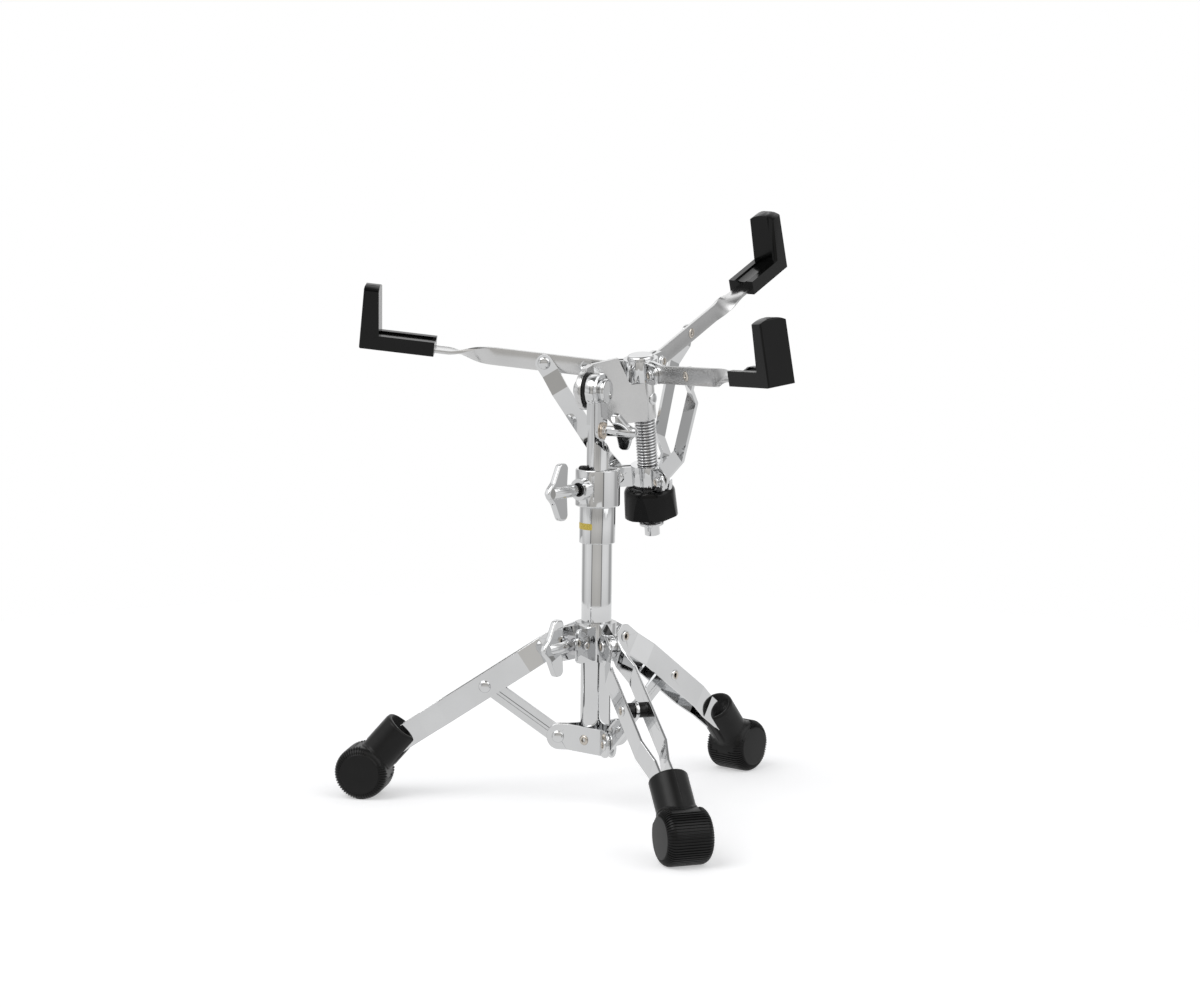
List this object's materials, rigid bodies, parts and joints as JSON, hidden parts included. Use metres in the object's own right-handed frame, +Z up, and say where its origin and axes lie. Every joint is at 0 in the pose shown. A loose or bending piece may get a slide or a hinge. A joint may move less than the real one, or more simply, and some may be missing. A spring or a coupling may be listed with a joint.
{
  "type": "snare drum stand",
  "caption": "Low folding tripod stand with a sliding leg collar, height tube, tilter and an offset basket whose rubber-tipped arms close on a snare drum.",
  "frame": {"origin": "on the floor, on the axis of the main tube", "axes": "+Z up along the main tube; the left leg of the picture points along -X; +Y is away from the viewer"},
  "size_m": [0.4003, 0.4474, 0.4962],
  "materials": {
    "chrome": "polished chrome plate on steel",
    "cast_zinc": "plated casting",
    "rubber_foot": "moulded rubber",
    "rubber_claw": "moulded rubber",
    "black_plastic": "moulded nylon",
    "knob_plastic": "moulded plastic",
    "brass": "plain brass"
  },
  "bodies": {
    "base": {"lower_tube": "chrome", "tube_sleeve": "chrome", "height_collar": "chrome", "height_bush": "black_plastic", "bracket_plate_one": "chrome", "bracket_plate_two": "chrome", "bracket_plate_three": "chrome", "bracket_pin_left": "chrome", "bracket_pin_front": "chrome", "bracket_pin_rear": "chrome"},
    "height_wing": {"height_wing_screw": "chrome"},
    "collar": {"leg_collar": "chrome", "clamp_nut": "cast_zinc", "collar_pin_left": "chrome", "collar_pin_front": "chrome", "collar_pin_rear": "chrome"},
    "leg_wing": {"leg_wing_screw": "chrome"},
    "glide": {"tube_glide": "black_plastic"},
    "upper": {"upper_tube": "chrome", "tilt_clamp_plate": "chrome", "tilt_bolt": "chrome", "tilt_washer": "brass"},
    "tilt_wing": {"tilt_wing_bolt": "chrome"},
    "basket": {"tilt_bracket": "chrome", "basket_post": "chrome", "post_end_screw": "chrome", "upper_hub": "chrome"},
    "nut_hub": {"lower_hub": "chrome"},
    "knob": {"basket_knob": "knob_plastic"},
    "brace_left": {"strut_left": "chrome"},
    "leg_left": {"strip_a_left": "chrome", "strip_b_left": "chrome", "leg_pin_left": "chrome", "spacer_a_left": "black_plastic", "spacer_b_left": "black_plastic", "foot_left": "rubber_foot"},
    "brace_front": {"strut_front": "chrome"},
    "leg_front": {"strip_a_front": "chrome", "strip_b_front": "chrome", "leg_pin_front": "chrome", "spacer_a_front": "black_plastic", "spacer_b_front": "black_plastic", "foot_front": "rubber_foot"},
    "brace_rear": {"strut_rear": "chrome"},
    "leg_rear": {"strip_a_rear": "chrome", "strip_b_rear": "chrome", "leg_pin_rear": "chrome", "spacer_a_rear": "black_plastic", "spacer_b_rear": "black_plastic", "foot_rear": "rubber_foot"},
    "arm_body_left": {"arm_left": "chrome", "claw_left": "rubber_claw", "arm_stop_bolt": "chrome"},
    "link_body_left": {"link_left": "chrome"},
    "arm_body_right": {"arm_right": "chrome", "claw_right": "rubber_claw"},
    "link_body_right": {"link_right": "chrome"},
    "arm_body_rear": {"arm_rear": "chrome", "claw_rear": "rubber_claw"},
    "link_body_rear": {"link_rear": "chrome"}
  },
  "joints": [
    {"name": "tripod_fold", "type": "hinge", "parent": "base", "child": "brace_left", "pos_m": [-0.0312, 0, 0.06], "axis": [0, 1, 0], "range_deg": [-12, 42]},
    {"name": "leg_left_pivot", "type": "hinge", "parent": "brace_left", "child": "leg_left", "pos_m": [-0.0928, 0, 0.10155], "axis": [0, 1, 0], "range_deg": [-84, 24]},
    {"name": "collar_rise", "type": "hinge", "parent": "leg_left", "child": "collar", "pos_m": [-0.0312, 0, 0.1431], "axis": [0, 1, 0], "range_deg": [-12, 42]},
    {"name": "brace_front_pivot", "type": "hinge", "parent": "base", "child": "brace_front", "pos_m": [0.0156, -0.02702, 0.06], "axis": [-0.866, -0.5, 0], "range_deg": [-12, 42]},
    {"name": "leg_front_pivot", "type": "hinge", "parent": "brace_front", "child": "leg_front", "pos_m": [0.0464, -0.08037, 0.10155], "axis": [-0.866, -0.5, 0], "range_deg": [-84, 24]},
    {"name": "brace_rear_pivot", "type": "hinge", "parent": "base", "child": "brace_rear", "pos_m": [0.0156, 0.02702, 0.06], "axis": [0.866, -0.5, 0], "range_deg": [-12, 42]},
    {"name": "leg_rear_pivot", "type": "hinge", "parent": "brace_rear", "child": "leg_rear", "pos_m": [0.0464, 0.08037, 0.10155], "axis": [0.866, -0.5, 0], "range_deg": [-84, 24]},
    {"name": "leg_wing_turn", "type": "hinge", "parent": "collar", "child": "leg_wing", "pos_m": [-0.0165, -0.02858, 0.1431], "axis": [-0.5, -0.866, 0], "continuous": true},
    {"name": "height_wing_turn", "type": "hinge", "parent": "base", "child": "height_wing", "pos_m": [-0.0145, -0.02511, 0.2725], "axis": [-0.5, -0.866, 0], "continuous": true},
    {"name": "height_slide", "type": "slide", "parent": "base", "child": "glide", "axis": [0, 0, 1], "range_m": [-0.01, 0.08]},
    {"name": "basket_swivel", "type": "hinge", "parent": "glide", "child": "upper", "pos_m": [0, 0, 0.14], "axis": [0, 0, 1], "range_deg": [-90, 90]},
    {"name": "tilt_wing_turn", "type": "hinge", "parent": "upper", "child": "tilt_wing", "pos_m": [0.00386, -0.00103, 0.32], "axis": [0.9659, -0.2588, 0], "continuous": true},
    {"name": "basket_tilt", "type": "hinge", "parent": "upper", "child": "basket", "pos_m": [0, 0, 0.353], "axis": [0.9659, -0.2588, 0], "range_deg": [-11, 20]},
    {"name": "basket_close", "type": "slide", "parent": "basket", "child": "nut_hub", "axis": [-0.0494, -0.1843, 0.9816], "range_m": [0, 0.03093]},
    {"name": "knob_turn", "type": "hinge", "parent": "nut_hub", "child": "knob", "pos_m": [0.03462, 0.05735, 0.26822], "axis": [-0.0494, -0.1843, 0.9816], "range_deg": [0, 3713]},
    {"name": "arm_left_pivot", "type": "hinge", "parent": "basket", "child": "arm_body_left", "pos_m": [0.00437, 0.03563, 0.36724], "axis": [-0.1211, 0.9767, 0.1773], "range_deg": [0, 61.71]},
    {"name": "link_left_pivot", "type": "hinge", "parent": "nut_hub", "child": "link_body_left", "pos_m": [0.00897, 0.0528, 0.27576], "axis": [-0.1211, 0.9767, 0.1773], "range_deg": [0, 19.74]},
    {"name": "arm_right_pivot", "type": "hinge", "parent": "basket", "child": "arm_body_right", "pos_m": [0.04481, 0.01834, 0.36603], "axis": [-0.798, -0.5837, -0.1497], "range_deg": [0, 61.71]},
    {"name": "link_right_pivot", "type": "hinge", "parent": "nut_hub", "child": "link_body_right", "pos_m": [0.04941, 0.03551, 0.27454], "axis": [-0.798, -0.5837, -0.1497], "range_deg": [0, 19.74]},
    {"name": "arm_rear_pivot", "type": "hinge", "parent": "basket", "child": "arm_body_rear", "pos_m": [0.03948, 0.06131, 0.37383], "axis": [0.9191, -0.393, -0.0275], "range_deg": [0, 61.71]},
    {"name": "link_rear_pivot", "type": "hinge", "parent": "nut_hub", "child": "link_body_rear", "pos_m": [0.04408, 0.07848, 0.28234], "axis": [0.9191, -0.393, -0.0275], "range_deg": [0, 19.74]}
  ],
  "couplings": [
    {"joint": "leg_left_pivot", "follows": "tripod_fold", "ratio": -2},
    {"joint": "collar_rise", "follows": "tripod_fold", "ratio": 1},
    {"joint": "leg_front_pivot", "follows": "tripod_fold", "ratio": -2},
    {"joint": "brace_front_pivot", "follows": "tripod_fold", "ratio": 1},
    {"joint": "leg_rear_pivot", "follows": "tripod_fold", "ratio": -2},
    {"joint": "brace_rear_pivot", "follows": "tripod_fold", "ratio": 1},
    {"joint": "knob_turn", "follows": "basket_close", "rad_per_m": 2094.4},
    {"joint": "arm_left_pivot", "follows": "basket_close", "rad_per_m": 34.814},
    {"joint": "link_left_pivot", "follows": "basket_close", "rad_per_m": 11.131},
    {"joint": "arm_right_pivot", "follows": "basket_close", "rad_per_m": 34.814},
    {"joint": "link_right_pivot", "follows": "basket_close", "rad_per_m": 11.131},
    {"joint": "arm_rear_pivot", "follows": "basket_close", "rad_per_m": 34.814},
    {"joint": "link_rear_pivot", "follows": "basket_close", "rad_per_m": 11.131}
  ]
}
